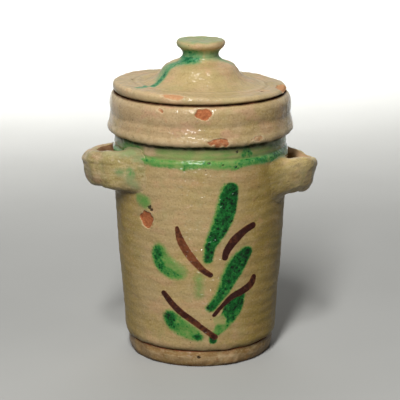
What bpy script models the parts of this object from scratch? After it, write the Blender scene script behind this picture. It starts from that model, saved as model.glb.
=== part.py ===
"""Lidded salt jar of glazed earthenware with two strap handles, built member by member.

Metres, +Z up. The jar stands on z = 0 with its axis on the Z axis. The handles lie
along X and the painted front looks along -Y.
"""

import math

import bmesh
import bpy

# Facets round the axis of every thrown member.
SEGMENTS = 64

# Slip-filled joint between two clay members, and the play of the loose lid in the mouth.
SLIP_GAP = 0.0003
FLANGE_PLAY = 0.0015

# Heights, from the table upwards.
FOOT_HEIGHT = 0.0115
BODY_HEIGHT = 0.1460
COLLAR_HEIGHT = 0.0270
LID_THICKNESS = 0.0055
DOME_RISE = 0.0189
KNOB_HEIGHT = 0.0105

# Outside of the jar.
SHOULDER_RADIUS = 0.0609
BODY_TAPER = 0.0077
BELLY = 0.0005
CURL_HEIGHT = 0.0073
FOOT_SETBACK = 0.0030
FOOT_TAPER = 0.0014
FOOT_EDGE = 0.0011
NECK_STEP = 0.0015
NECK_HEIGHT = 0.0095
SHOULDER_BAND = 0.0065
LEDGE_WIDTH = 0.0018

# Collar folded over the neck.
COLLAR_STAND = 0.0034
BEAD_STAND = 0.0016
BEAD_HEIGHT = 0.0068
WAIST_DEPTH = 0.0004
RIM_DEPTH = 0.0062
RIM_ROUNDING = 0.0042
RIM_SHOULDER = 0.0070
MOUTH_EASE = 0.0006

# Clay thickness.
WALL = 0.0064
FLOOR = 0.0080
FLOOR_FILLET = 0.0070
NECK_WALL = 0.0046
FOOT_RING_WIDTH = 0.0105

# Lid, its flange and its knob.
LID_SETBACK = 0.0032
LID_EDGE = 0.0030
DOME_FOOT_RADIUS = 0.0400
DOME_SHOULDER_RADIUS = 0.0250
DOME_WALL = 0.0060
COVE_RISE = 0.0032
PAD_MARGIN = 0.0003
FLANGE_WALL = 0.0050
FLANGE_DEPTH = 0.0100
FLANGE_EASE = 0.0010
STEM_RADIUS = 0.0120
KNOB_RADIUS = 0.0166
KNOB_DISH = 0.0006

# Strap handles. The right one is set on a little lower than the left one.
HANDLE_REACH = 0.0210
HANDLE_HEIGHT = 0.0215
HANDLE_THICKNESS = 0.0100
HANDLE_SPAN = 0.0520
HANDLE_RIDGE = 0.0010
HANDLE_LEAN = 0.0023
HANDLE_LEFT_DROP = 0.0263
HANDLE_RIGHT_DROP = 0.0325

# Top edges of the straps. Each climbs from its level at the tip towards both roots, and more
# towards the front one, and leans out over the tip.
LEFT_TOP = {"level": 0.0007, "climb": 0.0039, "tilt": 0.0039, "lean": 0.0002}
RIGHT_TOP = {"level": -0.0027, "climb": 0.0083, "tilt": 0.0016, "lean": 0.0024}
INNER_SIDE = 0.60

# Roots of the straps, and the facets of a strap.
ROOT_SPREAD = 0.0050
ROOT_TALLER = 0.0026
HANDLE_STATIONS = 25
HANDLE_SIDES = 16

# Colours of the fired glaze and of the bare clay, and their roughness.
GLAZE = (0.46, 0.33, 0.16)
GLAZE_ROUGHNESS = 0.35
BARE_CLAY = (0.52, 0.24, 0.12)
CLAY_ROUGHNESS = 0.80

# Angle between faces above which an edge stays sharp.
SHARP_EDGE = math.radians(42.0)

# Levels that follow from the heights.
Z_BODY = FOOT_HEIGHT + SLIP_GAP
Z_COLLAR = FOOT_HEIGHT + BODY_HEIGHT
Z_LEDGE = Z_COLLAR - SLIP_GAP
Z_RIM = Z_COLLAR + COLLAR_HEIGHT
Z_NECK_TOP = Z_RIM - RIM_DEPTH - SLIP_GAP
Z_GROOVE = Z_COLLAR - NECK_HEIGHT
Z_SHOULDER = Z_GROOVE - SHOULDER_BAND
Z_LID = Z_RIM + SLIP_GAP
Z_LID_TOP = Z_LID + LID_THICKNESS
Z_PAD = Z_LID_TOP + DOME_RISE
Z_KNOB = Z_PAD + SLIP_GAP
Z_KNOB_TOP = Z_KNOB + KNOB_HEIGHT

# Radii that follow from the sizes above.
BASE_RADIUS = SHOULDER_RADIUS - BODY_TAPER
FOOT_TOP_RADIUS = BASE_RADIUS - FOOT_SETBACK
FOOT_BASE_RADIUS = FOOT_TOP_RADIUS - FOOT_TAPER
FOOT_HOLE_RADIUS = FOOT_BASE_RADIUS - FOOT_RING_WIDTH
NECK_RADIUS = SHOULDER_RADIUS - NECK_STEP
SPIGOT_RADIUS = NECK_RADIUS - LEDGE_WIDTH
COLLAR_BORE = SPIGOT_RADIUS + SLIP_GAP
MOUTH_RADIUS = SPIGOT_RADIUS - NECK_WALL
COLLAR_RADIUS = NECK_RADIUS + COLLAR_STAND
BEAD_RADIUS = COLLAR_RADIUS + BEAD_STAND
LID_RADIUS = COLLAR_RADIUS - LID_SETBACK
FLANGE_RADIUS = MOUTH_RADIUS - FLANGE_PLAY
FLANGE_BORE = FLANGE_RADIUS - FLANGE_WALL
PAD_RADIUS = STEM_RADIUS + PAD_MARGIN


def clear_scene():
    for old in list(bpy.data.objects):
        bpy.data.objects.remove(old, do_unlink=True)


def clay(name, colour, roughness):
    material = bpy.data.materials.new(name)
    material.use_nodes = True
    shader = material.node_tree.nodes["Principled BSDF"]
    shader.inputs["Base Color"].default_value = (*colour, 1.0)
    shader.inputs["Roughness"].default_value = roughness
    shader.inputs["Metallic"].default_value = 0.0
    return material


def add_node(name, builder, material):
    """Close the builder into a named object with smooth shading and its own material."""
    bmesh.ops.recalc_face_normals(builder, faces=builder.faces)
    mesh = bpy.data.meshes.new(name)
    builder.to_mesh(mesh)
    builder.free()
    mesh.shade_smooth()
    mesh.set_sharp_from_angle(angle=SHARP_EDGE)
    node = bpy.data.objects.new(name, mesh)
    bpy.context.scene.collection.objects.link(node)
    if material is not None:
        mesh.materials.append(material)
    return node


def revolve(name, section, material):
    """Spin a section of (radius, height) points about the Z axis. It is open only on the axis."""
    builder = bmesh.new()
    corners = []
    for radius, height in section:
        corners.append(builder.verts.new((radius, 0.0, height)))
    edges = []
    for first, second in zip(corners, corners[1:] + corners[:1]):
        if first.co.x > 0.0 or second.co.x > 0.0:
            edges.append(builder.edges.new((first, second)))
    bmesh.ops.spin(
        builder,
        geom=corners + edges,
        cent=(0.0, 0.0, 0.0),
        axis=(0.0, 0.0, 1.0),
        angle=2.0 * math.pi,
        steps=SEGMENTS,
        use_merge=True,
    )
    bmesh.ops.remove_doubles(builder, verts=builder.verts, dist=1e-6)
    return add_node(name, builder, material)


def oval(centre, half_width, half_height, start, stop, pieces):
    """Points along an oval arc in the section plane, angles in degrees from +R towards +Z."""
    points = []
    for step in range(pieces + 1):
        turn = math.radians(start + (stop - start) * step / pieces)
        radius = centre[0] + half_width * math.cos(turn)
        points.append((radius, centre[1] + half_height * math.sin(turn)))
    return points


def wall_radius(height):
    """Outside radius of the slightly bellied, tapering wall between the curl and the shoulder."""
    low = Z_BODY + CURL_HEIGHT
    part = (height - low) / (Z_SHOULDER - low)
    return BASE_RADIUS + BODY_TAPER * part + BELLY * math.sin(math.pi * part)


def jar_outside():
    """Outside of the thrown jar from its underside up to the ledge that carries the collar."""
    low = Z_BODY + CURL_HEIGHT
    points = oval((FOOT_TOP_RADIUS, low), FOOT_SETBACK, CURL_HEIGHT, -90.0, -18.0, 4)
    steps = 9
    for step in range(steps + 1):
        height = low + (Z_SHOULDER - low) * step / steps
        points.append((wall_radius(height), height))
    points += [
        (SHOULDER_RADIUS, Z_SHOULDER + 0.50 * SHOULDER_BAND),
        (SHOULDER_RADIUS - 0.20 * NECK_STEP, Z_SHOULDER + 0.82 * SHOULDER_BAND),
        (NECK_RADIUS - 0.15 * NECK_STEP, Z_GROOVE),
        (NECK_RADIUS + 0.20 * NECK_STEP, Z_GROOVE + 0.16 * NECK_HEIGHT),
        (NECK_RADIUS, Z_GROOVE + 0.50 * NECK_HEIGHT),
        (NECK_RADIUS, Z_LEDGE),
    ]
    return points


def jar_section():
    """Full section of the jar: outside, spigot, mouth, inside wall and floor."""
    floor_z = Z_BODY + FLOOR
    low = floor_z + FLOOR_FILLET
    inside_base = wall_radius(low) - WALL
    inside_shoulder = SHOULDER_RADIUS - WALL
    points = jar_outside()
    points += [
        (SPIGOT_RADIUS, Z_LEDGE),
        (SPIGOT_RADIUS, Z_NECK_TOP),
        (MOUTH_RADIUS, Z_NECK_TOP),
        (MOUTH_RADIUS, Z_GROOVE + 0.30 * NECK_HEIGHT),
    ]
    steps = 5
    for step in range(steps, 0, -1):
        part = step / steps
        radius = inside_base + (inside_shoulder - inside_base) * part
        points.append((radius, low + (Z_SHOULDER - low) * part))
    points += oval((inside_base - FLOOR_FILLET, low), FLOOR_FILLET, FLOOR_FILLET, 0.0, -90.0, 4)
    points += [(0.0, floor_z), (0.0, Z_BODY)]
    return points


def foot_section():
    """Ring under the jar, flat below, its outside drawn in towards the table."""
    outer = FOOT_BASE_RADIUS - FOOT_EDGE
    inner = FOOT_HOLE_RADIUS + FOOT_EDGE
    points = [
        (FOOT_TOP_RADIUS, FOOT_HEIGHT),
        (FOOT_TOP_RADIUS - 0.30 * FOOT_TAPER, 0.60 * FOOT_HEIGHT),
    ]
    points += oval((outer, FOOT_EDGE), FOOT_EDGE, FOOT_EDGE, 0.0, -90.0, 3)
    points += oval((inner, FOOT_EDGE), FOOT_EDGE, FOOT_EDGE, -90.0, -180.0, 2)
    points.append((FOOT_HOLE_RADIUS, FOOT_HEIGHT))
    return points


def collar_section():
    """Band folded over the top of the neck: a skirt outside it and a flat seat on top of it."""
    bead_z = Z_COLLAR + 0.40 * BEAD_HEIGHT
    shoulder_z = Z_RIM - RIM_SHOULDER
    waist_z = 0.55 * (Z_COLLAR + BEAD_HEIGHT) + 0.45 * shoulder_z
    seat_edge = COLLAR_RADIUS - RIM_ROUNDING
    points = [
        (COLLAR_BORE, Z_COLLAR),
        (COLLAR_RADIUS + 0.15 * BEAD_STAND, Z_COLLAR),
        (BEAD_RADIUS - 0.30 * BEAD_STAND, Z_COLLAR + 0.14 * BEAD_HEIGHT),
        (BEAD_RADIUS, bead_z),
        (BEAD_RADIUS - 0.12 * BEAD_STAND, Z_COLLAR + 0.70 * BEAD_HEIGHT),
        (COLLAR_RADIUS + 0.45 * BEAD_STAND, Z_COLLAR + BEAD_HEIGHT),
        (COLLAR_RADIUS - WAIST_DEPTH, waist_z),
        (COLLAR_RADIUS - 0.25 * WAIST_DEPTH, 0.50 * waist_z + 0.50 * shoulder_z),
    ]
    points += oval((seat_edge, shoulder_z), RIM_ROUNDING, RIM_SHOULDER, 0.0, 90.0, 5)
    points += [
        (MOUTH_RADIUS + MOUTH_EASE, Z_RIM),
        (MOUTH_RADIUS, Z_RIM - MOUTH_EASE),
        (MOUTH_RADIUS, Z_NECK_TOP + SLIP_GAP),
        (COLLAR_BORE, Z_NECK_TOP + SLIP_GAP),
    ]
    return points


def dome_outside():
    """Dome from the seam under the knob down a hollow cove, over its shoulder and to the flat plate."""
    cove = DOME_SHOULDER_RADIUS - PAD_RADIUS
    flank = DOME_FOOT_RADIUS - DOME_SHOULDER_RADIUS
    return [
        (PAD_RADIUS, Z_PAD),
        (PAD_RADIUS + 0.05 * cove, Z_PAD - 0.06 * DOME_RISE),
        (PAD_RADIUS + 0.13 * cove, Z_PAD - 0.12 * DOME_RISE),
        (PAD_RADIUS + 0.23 * cove, Z_PAD - 0.17 * DOME_RISE),
        (PAD_RADIUS + 0.39 * cove, Z_PAD - 0.21 * DOME_RISE),
        (PAD_RADIUS + 0.58 * cove, Z_PAD - 0.25 * DOME_RISE),
        (PAD_RADIUS + 0.76 * cove, Z_PAD - 0.31 * DOME_RISE),
        (PAD_RADIUS + 0.91 * cove, Z_PAD - 0.37 * DOME_RISE),
        (DOME_SHOULDER_RADIUS + 0.02 * flank, Z_PAD - 0.45 * DOME_RISE),
        (DOME_SHOULDER_RADIUS + 0.14 * flank, Z_PAD - 0.61 * DOME_RISE),
        (DOME_SHOULDER_RADIUS + 0.30 * flank, Z_PAD - 0.75 * DOME_RISE),
        (DOME_SHOULDER_RADIUS + 0.54 * flank, Z_PAD - 0.87 * DOME_RISE),
        (DOME_SHOULDER_RADIUS + 0.82 * flank, Z_PAD - 0.96 * DOME_RISE),
        (DOME_FOOT_RADIUS, Z_LID_TOP),
    ]


def dome_inside():
    """Hollow of the dome from the underside of the plate up to the axis, one dome wall inside."""
    top = Z_PAD - COVE_RISE - DOME_WALL
    rise = top - Z_LID
    width = DOME_FOOT_RADIUS - DOME_WALL
    return [
        (width, Z_LID),
        (0.86 * width, Z_LID + 0.14 * rise),
        (0.74 * width, Z_LID + 0.40 * rise),
        (0.62 * width, Z_LID + 0.72 * rise),
        (0.45 * width, Z_LID + 0.93 * rise),
        (0.0, top),
    ]


def lid_section():
    """Flat plate with a rounded edge that swells into a hollow dome with a flat pad for the knob."""
    half = 0.5 * LID_THICKNESS
    edge_centre = (LID_RADIUS - LID_EDGE, Z_LID + half)
    points = [(0.0, Z_PAD)]
    points += dome_outside()
    points += oval(edge_centre, LID_EDGE, half, 78.0, -62.0, 6)
    points.append((LID_RADIUS - LID_EDGE, Z_LID))
    points += dome_inside()
    return points


def flange_section():
    """Locating ring under the lid, a little smaller than the mouth."""
    top = Z_LID - SLIP_GAP
    foot = top - FLANGE_DEPTH
    return [
        (FLANGE_RADIUS, top),
        (FLANGE_RADIUS, foot + 1.5 * FLANGE_EASE),
        (FLANGE_RADIUS - FLANGE_EASE, foot),
        (FLANGE_BORE + FLANGE_EASE, foot),
        (FLANGE_BORE, foot + FLANGE_EASE),
        (FLANGE_BORE, top),
    ]


def knob_section():
    """Flat button with a rounded rim on a waisted stem."""
    flare = KNOB_RADIUS - STEM_RADIUS
    return [
        (0.0, Z_KNOB_TOP - KNOB_DISH),
        (0.55 * KNOB_RADIUS, Z_KNOB_TOP - 0.80 * KNOB_DISH),
        (0.76 * KNOB_RADIUS, Z_KNOB_TOP),
        (0.88 * KNOB_RADIUS, Z_KNOB_TOP - 0.01 * KNOB_HEIGHT),
        (0.96 * KNOB_RADIUS, Z_KNOB_TOP - 0.09 * KNOB_HEIGHT),
        (KNOB_RADIUS, Z_KNOB_TOP - 0.23 * KNOB_HEIGHT),
        (KNOB_RADIUS - 0.05 * flare, Z_KNOB_TOP - 0.36 * KNOB_HEIGHT),
        (KNOB_RADIUS - 0.24 * flare, Z_KNOB_TOP - 0.48 * KNOB_HEIGHT),
        (STEM_RADIUS + 0.41 * flare, Z_KNOB_TOP - 0.60 * KNOB_HEIGHT),
        (STEM_RADIUS + 0.17 * flare, Z_KNOB_TOP - 0.74 * KNOB_HEIGHT),
        (STEM_RADIUS, Z_KNOB_TOP - 0.92 * KNOB_HEIGHT),
        (PAD_RADIUS, Z_KNOB),
        (0.0, Z_KNOB),
    ]


def top_rise(part, edge):
    """Rise of a strap's top edge at one station over a level edge."""
    sweep = math.sin(0.5 * math.pi * part)
    return edge["level"] + edge["climb"] * sweep ** 2 - edge["tilt"] * sweep


def strap_ring(side, part, middle_z, edge):
    """Corners of the strap's section at one station, part running from -1 at the front root to 1."""
    tip = SHOULDER_RADIUS + HANDLE_REACH - 0.5 * HANDLE_THICKNESS - HANDLE_RIDGE
    half_span = 0.5 * HANDLE_SPAN
    root = math.sqrt(SHOULDER_RADIUS ** 2 - half_span ** 2) - 0.9 * WALL
    turn = 0.5 * math.pi * part
    out = root + (tip - root) * math.cos(turn) ** 0.85
    along = half_span * math.sin(turn) * (1.0 + 0.10 * part ** 4)
    normal_out = math.cos(turn) / (tip - root)
    normal_along = math.sin(turn) / half_span
    length = math.hypot(normal_out, normal_along)
    thick = 0.5 * HANDLE_THICKNESS + ROOT_SPREAD * part ** 6
    tall = 0.5 * HANDLE_HEIGHT + ROOT_TALLER * part ** 4
    top = tall + top_rise(part, edge)
    corners = []
    for index in range(HANDLE_SIDES):
        angle = 2.0 * math.pi * index / HANDLE_SIDES
        cosine = math.cos(angle)
        sine = math.sin(angle)
        across = thick * math.copysign(abs(cosine) ** 0.80, cosine)
        across += HANDLE_RIDGE * max(cosine, 0.0) ** 2
        lift = math.copysign(abs(sine) ** 0.72, sine)
        lean = edge["lean"] if lift > 0.0 else HANDLE_LEAN
        across += lean * lift * min(max(1.0 + cosine / INNER_SIDE, 0.0), 1.0)
        x = side * (out + across * normal_out / length)
        y = along + across * normal_along / length
        corners.append((x, y, middle_z + (top if lift > 0.0 else tall) * lift))
    return corners


def strap(name, side, drop, edge, material):
    """Strap bent into a loop from front to back, its roots spread where they meet the wall."""
    builder = bmesh.new()
    rings = []
    for station in range(HANDLE_STATIONS):
        part = -1.0 + 2.0 * station / (HANDLE_STATIONS - 1)
        corners = strap_ring(side, part, Z_COLLAR - drop, edge)
        rings.append([builder.verts.new(corner) for corner in corners])
    for first, second in zip(rings, rings[1:]):
        for index in range(HANDLE_SIDES):
            after = (index + 1) % HANDLE_SIDES
            builder.faces.new([first[index], first[after], second[after], second[index]])
    builder.faces.new(rings[0])
    builder.faces.new(rings[-1])
    return add_node(name, builder, material)


def wall_cutter():
    """Solid filled out to the jar wall, one slip gap larger, that shapes the handle roots."""
    points = [(0.0, Z_COLLAR), (NECK_RADIUS + SLIP_GAP, Z_COLLAR)]
    for radius, height in reversed(jar_outside()):
        points.append((radius + SLIP_GAP, height))
    points.append((0.0, Z_BODY))
    cutter = revolve("wall_cutter", points, None)
    cutter.hide_render = True
    cutter.display_type = "WIRE"
    return cutter


def trim_to_wall(handle, cutter):
    cut = handle.modifiers.new("fit_to_wall", "BOOLEAN")
    cut.operation = "DIFFERENCE"
    cut.solver = "EXACT"
    cut.object = cutter


def carry_on(name, height, pieces):
    """Parent pieces to an empty on the jar's axis, where they stay in place and move as one."""
    carrier = bpy.data.objects.new(name, None)
    carrier.location = (0.0, 0.0, height)
    bpy.context.scene.collection.objects.link(carrier)
    bpy.context.view_layer.update()
    for piece in pieces:
        piece.parent = carrier
        piece.matrix_parent_inverse = carrier.matrix_world.inverted()


clear_scene()

body = revolve("jar_body", jar_section(), clay("jar_body", GLAZE, GLAZE_ROUGHNESS))
foot = revolve("foot_ring", foot_section(), clay("foot_ring", GLAZE, GLAZE_ROUGHNESS))
collar = revolve("rim_collar", collar_section(), clay("rim_collar", GLAZE, GLAZE_ROUGHNESS))
left_clay = clay("handle_left", GLAZE, GLAZE_ROUGHNESS)
left_handle = strap("handle_left", -1.0, HANDLE_LEFT_DROP, LEFT_TOP, left_clay)
right_clay = clay("handle_right", GLAZE, GLAZE_ROUGHNESS)
right_handle = strap("handle_right", 1.0, HANDLE_RIGHT_DROP, RIGHT_TOP, right_clay)

wall_shape = wall_cutter()
trim_to_wall(left_handle, wall_shape)
trim_to_wall(right_handle, wall_shape)

lid = revolve("lid", lid_section(), clay("lid", GLAZE, GLAZE_ROUGHNESS))
flange = revolve("lid_flange", flange_section(), clay("lid_flange", BARE_CLAY, CLAY_ROUGHNESS))
knob = revolve("lid_knob", knob_section(), clay("lid_knob", GLAZE, GLAZE_ROUGHNESS))

carry_on("jar", 0.0, [body, foot, collar, left_handle, right_handle])
carry_on("lid_lift", Z_LID, [lid, flange, knob])
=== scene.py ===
import functools
import math

import bpy
import numpy as np
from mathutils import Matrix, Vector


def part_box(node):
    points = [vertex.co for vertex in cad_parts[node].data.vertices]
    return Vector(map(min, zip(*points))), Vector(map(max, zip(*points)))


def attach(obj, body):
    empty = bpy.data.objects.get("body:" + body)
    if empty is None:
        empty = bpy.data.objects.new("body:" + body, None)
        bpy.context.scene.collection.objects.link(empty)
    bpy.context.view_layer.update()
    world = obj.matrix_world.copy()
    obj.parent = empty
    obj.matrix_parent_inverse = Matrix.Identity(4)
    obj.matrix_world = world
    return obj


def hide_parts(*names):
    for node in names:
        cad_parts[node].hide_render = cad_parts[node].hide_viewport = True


# Looks of a lidded salt jar of glazed earthenware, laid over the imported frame.
# The frame is in metres. Every size in the tables below is in millimetres, and every turn is in
# degrees round the jar's axis, from the painted front (-Y) towards the right handle (+X).

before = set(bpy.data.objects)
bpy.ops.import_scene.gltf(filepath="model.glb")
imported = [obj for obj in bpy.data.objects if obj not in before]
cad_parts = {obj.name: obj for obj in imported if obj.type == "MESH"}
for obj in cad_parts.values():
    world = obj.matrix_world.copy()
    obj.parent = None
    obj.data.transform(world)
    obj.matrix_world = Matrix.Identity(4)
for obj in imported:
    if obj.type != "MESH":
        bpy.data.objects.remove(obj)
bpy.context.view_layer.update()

MM = 0.001
FAR = 1000.0
FULL_TURN = 2.0 * math.pi

# A mark's field is 0.5 at its edge. It changes by 1 over this length, or this many edge widths.
FIELD_SPAN = 6.0
SOFT_SPAN = 8.0

# Fineness of the skins.
DENSE_STEP = 0.1
KEYS_PER_MM = 100.0
SHOWN_BLUR = 12.0
BODY_SEGMENTS = 368
RIM_SEGMENTS = 440
FOOT_SEGMENTS = 320
FLANGE_SEGMENTS = 256
KNOB_SEGMENTS = 192
RIPPLE_WAVES = 28
STROKE_STEPS = 14

# Brush strokes in copper green on the wall: edge width, then turn, height, half width and tone.
GREEN_STROKES = [
    (1.5, [(10.3, 127.2, 5.7, 0.55), (8.9, 118.0, 6.6, 0.52), (6.7, 108.3, 6.5, 0.5),
           (2.8, 98.7, 5.5, 0.48), (-1.8, 89.0, 3.8, 0.52), (-3.0, 79.5, 3.1, 0.6)]),
    (0.9, [(12.0, 127.5, 5.5, 0.84), (10.7, 118.0, 6.3, 0.82), (8.6, 108.3, 6.1, 0.76),
           (4.4, 98.7, 5.2, 0.74), (-0.6, 89.0, 3.6, 0.8), (-2.2, 79.5, 3.0, 0.9)]),
    (2.4, [(-36.6, 84.2, 5.2, 0.42), (-35.2, 78.5, 6.6, 0.38), (-29.8, 73.4, 6.8, 0.33),
           (-22.0, 70.0, 5.2, 0.25)]),
    (1.4, [(-38.6, 84.0, 3.6, 0.7), (-39.4, 78.5, 3.6, 0.67), (-35.6, 72.2, 3.5, 0.62),
           (-28.6, 68.0, 3.2, 0.55), (-22.4, 66.6, 2.2, 0.4)]),
    (3.4, [(-8.7, 66.0, 2.6, 0.26), (-8.7, 54.0, 2.2, 0.2)]),
    (1.6, [(23.8, 82.3, 4.4, 0.5), (19.0, 77.5, 6.0, 0.45), (15.6, 72.3, 6.6, 0.46),
           (11.6, 65.2, 5.6, 0.5), (8.2, 57.6, 4.2, 0.5), (3.0, 50.0, 3.0, 0.55),
           (-1.2, 44.4, 3.0, 0.6)]),
    (0.9, [(25.6, 82.3, 4.2, 0.88), (21.4, 77.5, 5.6, 0.8), (18.0, 72.3, 6.2, 0.8),
           (13.6, 65.2, 5.4, 0.8), (10.2, 57.6, 4.0, 0.74), (4.8, 50.0, 2.9, 0.78),
           (0.1, 44.4, 3.0, 0.88)]),
    (1.0, [(20.0, 51.0, 5.2, 0.88), (16.6, 44.5, 7.2, 0.8), (13.8, 38.8, 6.2, 0.68),
           (9.5, 32.8, 5.0, 0.45), (4.4, 26.8, 3.0, 0.42)]),
    (1.2, [(4.6, 35.4, 2.6, 0.08), (8.6, 35.2, 3.2, 0.1)]),
    (0.7, [(10.8, 38.2, 0.9, 0.85), (12.4, 36.0, 0.8, 0.8), (12.0, 33.4, 0.7, 0.7)]),
    (1.6, [(-29.5, 36.3, 5.8, 0.55), (-26.0, 32.6, 6.8, 0.46), (-19.5, 28.8, 6.4, 0.42),
           (-13.0, 25.5, 5.0, 0.4), (-8.8, 23.3, 3.2, 0.52)]),
    (1.4, [(-31.5, 37.0, 3.8, 0.86), (-28.0, 31.5, 2.6, 0.62)]),
    (0.9, [(-10.0, 22.6, 2.2, 0.8), (-8.4, 22.0, 1.6, 0.85)]),
    (0.8, [(1.5, 22.6, 2.9, 0.95), (1.5, 20.6, 2.9, 0.95)]),
    (2.0, [(-50.8, 118.2, 4.2, 0.34), (-46.4, 116.6, 4.8, 0.32)]),
]

# Brush strokes in manganese brown on the wall, in the same terms.
BROWN_STROKES = [
    [(-23.2, 101.3, 1.5, 0.7), (-21.3, 93.7, 2.6, 0.55), (-17.1, 85.4, 2.9, 0.4),
     (-11.4, 77.8, 2.6, 0.45), (-5.6, 71.6, 2.1, 0.75), (-0.9, 68.4, 1.9, 0.9)],
    [(29.1, 100.7, 2.4, 1.0), (23.1, 98.1, 2.7, 0.9), (15.8, 92.5, 3.3, 0.85),
     (10.3, 85.0, 2.7, 0.95), (9.0, 80.3, 2.3, 1.0)],
    [(32.3, 62.9, 2.3, 0.85), (30.1, 58.5, 2.9, 0.75), (22.8, 54.6, 2.7, 0.95),
     (15.0, 51.6, 2.3, 1.0), (8.8, 46.5, 1.7, 0.95), (2.0, 39.2, 1.5, 0.9)],
    [(-34.1, 53.7, 2.1, 0.95), (-28.2, 46.7, 2.4, 0.9), (-21.0, 40.5, 2.4, 0.85),
     (-12.6, 34.7, 2.2, 0.75), (-4.4, 28.4, 2.0, 0.7), (3.0, 23.0, 2.1, 0.8)],
]

# Green that ran from the knob over the dome: edge width, then turn, radius, half width and tone.
LID_GREEN = [
    (3.2, [(-28.0, 13.6, 4.5, 0.34), (-58.0, 16.5, 5.5, 0.3), (-76.0, 21.5, 4.6, 0.26),
           (-86.0, 26.0, 4.0, 0.24), (-80.0, 30.5, 2.6, 0.2)]),
    (1.6, [(-44.0, 13.2, 5.0, 0.62), (-62.0, 16.0, 4.8, 0.54), (-69.0, 21.0, 4.4, 0.5),
           (-72.5, 25.2, 4.0, 0.52), (-70.5, 29.0, 3.6, 0.58), (-67.0, 33.5, 3.0, 0.62),
           (-65.5, 39.0, 2.8, 0.58), (-63.9, 43.4, 3.0, 0.52), (-62.0, 47.4, 2.8, 0.48),
           (-60.2, 51.4, 3.0, 0.6)]),
    (2.6, [(62.0, 13.4, 3.4, 0.3), (72.0, 17.0, 3.2, 0.28), (74.0, 22.0, 2.0, 0.22)]),
]

# Green on the knob's stem: edge width, then turn, radius, height, half width and tone.
STEM_GREEN = [
    (2.6, [(-110.0, 12.4, 210.4, 4.4, 0.44), (-70.0, 12.4, 210.6, 5.0, 0.48),
           (-34.0, 12.4, 210.4, 5.6, 0.54), (-8.0, 12.4, 210.6, 3.4, 0.36)]),
    (2.0, [(-66.0, 12.4, 208.8, 3.6, 0.6), (-44.0, 12.4, 209.4, 4.2, 0.72),
           (-22.0, 12.4, 208.6, 3.8, 0.66)]),
    (1.6, [(-10.0, 13.2, 213.6, 1.2, 0.42), (30.0, 13.2, 213.4, 1.0, 0.34),
           (64.0, 13.0, 213.0, 1.4, 0.36)]),
    (3.0, [(14.0, 12.4, 210.8, 3.4, 0.26), (46.0, 12.4, 210.6, 4.2, 0.28),
           (84.0, 12.4, 210.2, 4.8, 0.38), (112.0, 12.4, 210.2, 4.4, 0.4)]),
    (2.2, [(-112.0, 16.2, 217.2, 2.0, 0.22), (-70.0, 16.4, 216.6, 2.0, 0.18),
           (-40.0, 16.4, 216.4, 1.4, 0.1)]),
]

# Chips down to the red clay: turn, radius, height, half width, half height, share of glaze gone.
BODY_CHIPS = [(-46.2, 58.6, 105.6, 5.6, 4.6, 1.0), (-45.4, 58.6, 102.4, 5.2, 3.8, 1.0)]
COLLAR_CHIPS = [
    (-5.8, 62.4, 180.0, 5.6, 3.8, 1.0),
    (-33.0, 62.1, 181.2, 2.2, 1.4, 0.65),
    (3.0, 64.3, 161.0, 6.4, 2.8, 0.8),
    (28.5, 64.3, 161.4, 4.0, 1.6, 0.45),
]
LID_CHIPS = [
    (-25.0, 57.6, 189.8, 7.8, 3.4, 0.95),
    (72.5, 57.6, 189.6, 11.0, 4.8, 1.0),
    (-62.0, 59.2, 188.6, 3.6, 2.0, 0.35),
]
CHIP_DEPTH = 0.7
CHIP_SKIN = 0.42
PIT_DEPTH = 0.5

# Dark pits and slits in the glaze: turn, radius, height, half width, half height.
BODY_PITS = [
    (-43.2, 59.2, 113.0, 1.3, 1.2),
    (-41.7, 59.2, 111.9, 1.2, 0.9),
    (-42.4, 59.2, 114.3, 0.8, 0.8),
    (-48.4, 60.2, 126.0, 0.9, 2.2),
    (6.4, 60.8, 145.0, 0.7, 0.6),
    (15.1, 60.9, 143.2, 0.8, 0.6),
    (16.4, 59.4, 152.9, 0.7, 0.9),
    (-2.4, 60.6, 146.6, 1.0, 0.6),
]
LID_PITS = [(-101.8, 47.1, 190.3, 0.8, 0.8), (49.0, 49.7, 190.3, 1.1, 0.8)]
FOOT_PITS = [(-8.8, 49.8, 7.6, 1.2, 1.0)]

# Colours of the fired glaze and clay, as 8-bit screen values.
BODY_GROUND = ((187, 161, 113), (181, 155, 97), (195, 157, 114))
# The foot's glaze is darker and pinker than the body's: partly its own colour, partly painted shade on
# the lowest member.
FOOT_GROUND_AND_SHADE = ((146, 110, 66), (136, 105, 57), (153, 108, 69))
COLLAR_GROUND = ((186, 157, 115), (178, 152, 100), (196, 152, 119))
LID_GROUND = ((194, 168, 124), (185, 162, 111), (201, 163, 123))
LEFT_GROUND = ((185, 160, 114), (171, 154, 97), (193, 154, 120))
# The right strap's glaze is painted lighter than the left's, as painted light on the side that falls
# into shade.
RIGHT_GROUND_AND_LIGHT = ((213, 189, 127), (201, 181, 110), (219, 180, 130))
# Darker ochre for the jar's sides, the collar's right and the strap roots: ochre tint and painted shade.
SIDE_OCHRE_AND_SHADE = (160, 134, 54)
PALE = (214, 192, 150)
GRIME = (112, 88, 54)
SHADE = (142, 116, 68)
OLIVE = (148, 150, 98)
RED_CLAY = (176, 106, 70)
DARK_CLAY = (138, 88, 60)
STRAP_CLAY = (150, 116, 84)
STRAP_DARK_CLAY = (116, 84, 58)
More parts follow.
